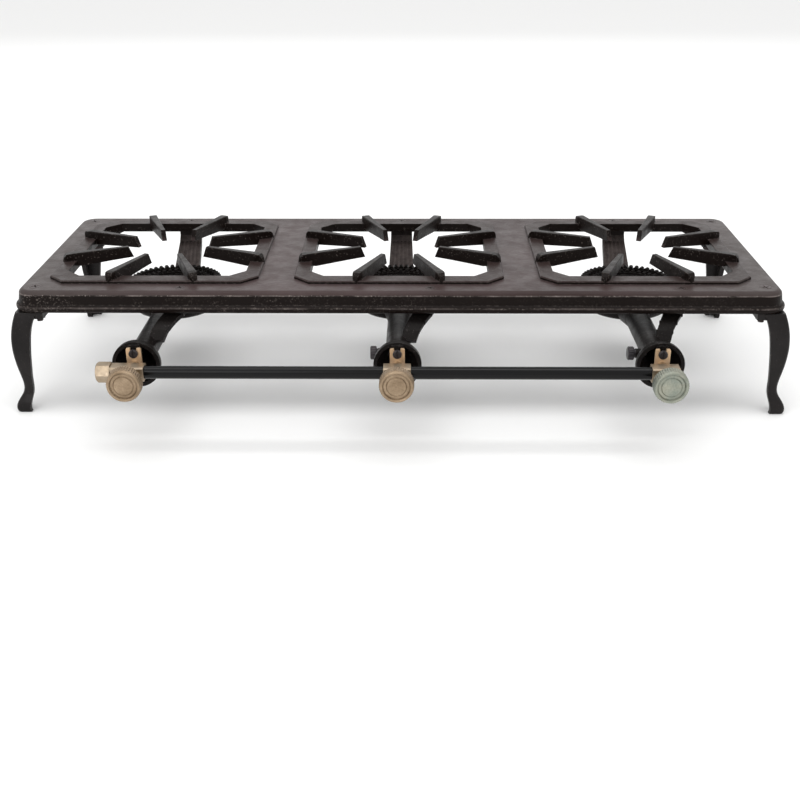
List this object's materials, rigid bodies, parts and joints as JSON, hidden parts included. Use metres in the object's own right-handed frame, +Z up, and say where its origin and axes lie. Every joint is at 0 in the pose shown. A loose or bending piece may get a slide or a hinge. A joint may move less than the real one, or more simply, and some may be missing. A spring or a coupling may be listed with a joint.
{
  "type": "propane burner stand",
  "caption": "Low cast-iron cooker stand: a long grate with pan-support fingers on cabriole legs over ring burners, fed by a front gas rail with rotary cocks.",
  "frame": {"origin": "middle of the bounding box on the ground, under the feet", "axes": "+X to the right seen from the knobs, +Y from the knobs towards the back, +Z up"},
  "size_m": [0.7774, 0.3862, 0.1365],
  "materials": {
    "grate_iron": "brownish satin paint over rough sand-cast iron, dark worn skirt",
    "leg_iron": "dark grey satin paint over sand-cast iron",
    "burner_iron": "black-grey painted sand-cast iron",
    "dark_steel": "steel painted over with the grate",
    "black_steel": "black oxide steel",
    "spring_steel": "bright spring steel",
    "black_paint": "satin black paint on steel tube",
    "brass": "machined light brass",
    "gold_brass": "pressed golden brass strip",
    "knob_bronze": "dull bronze-coloured die-cast knob, worn fluted rim",
    "knob_nickel": "dull greenish nickel-coloured die-cast knob"
  },
  "bodies": {
    "stand": {"top_grate": "grate_iron", "leg_front_left": "leg_iron", "leg_front_right": "leg_iron", "leg_rear_left": "leg_iron", "leg_rear_right": "leg_iron", "leg_screws": "dark_steel", "leg_nuts": "dark_steel", "burner_left": "burner_iron", "burner_middle": "burner_iron", "burner_right": "burner_iron", "burner_bolts": "dark_steel", "burner_nuts": "dark_steel", "lock_screws": "black_steel", "valve_body_left": "brass", "bonnet_left": "brass", "jet_left": "brass", "bracket_left": "gold_brass", "valve_body_middle": "brass", "bonnet_middle": "brass", "jet_middle": "brass", "bracket_middle": "gold_brass", "valve_body_right": "brass", "bonnet_right": "brass", "jet_right": "brass", "bracket_right": "gold_brass", "bracket_screws": "black_steel", "inlet_nut": "brass", "rail_left": "black_paint", "rail_right": "black_paint"},
    "tap_left": {"knob_left": "knob_bronze", "plug_left": "brass", "spring_left": "spring_steel"},
    "tap_middle": {"knob_middle": "knob_bronze", "plug_middle": "brass", "spring_middle": "spring_steel"},
    "tap_right": {"knob_right": "knob_nickel", "plug_right": "brass", "spring_right": "spring_steel"}
  },
  "joints": [
    {"name": "tap_left_turn", "type": "hinge", "parent": "stand", "child": "tap_left", "pos_m": [-0.247, -0.1871, 0.0767], "axis": [0, -1, 0], "range_deg": [0, 180]},
    {"name": "tap_middle_turn", "type": "hinge", "parent": "stand", "child": "tap_middle", "pos_m": [0, -0.1871, 0.0767], "axis": [0, -1, 0], "range_deg": [0, 180]},
    {"name": "tap_right_turn", "type": "hinge", "parent": "stand", "child": "tap_right", "pos_m": [0.247, -0.1871, 0.0767], "axis": [0, -1, 0], "range_deg": [0, 180]}
  ]
}
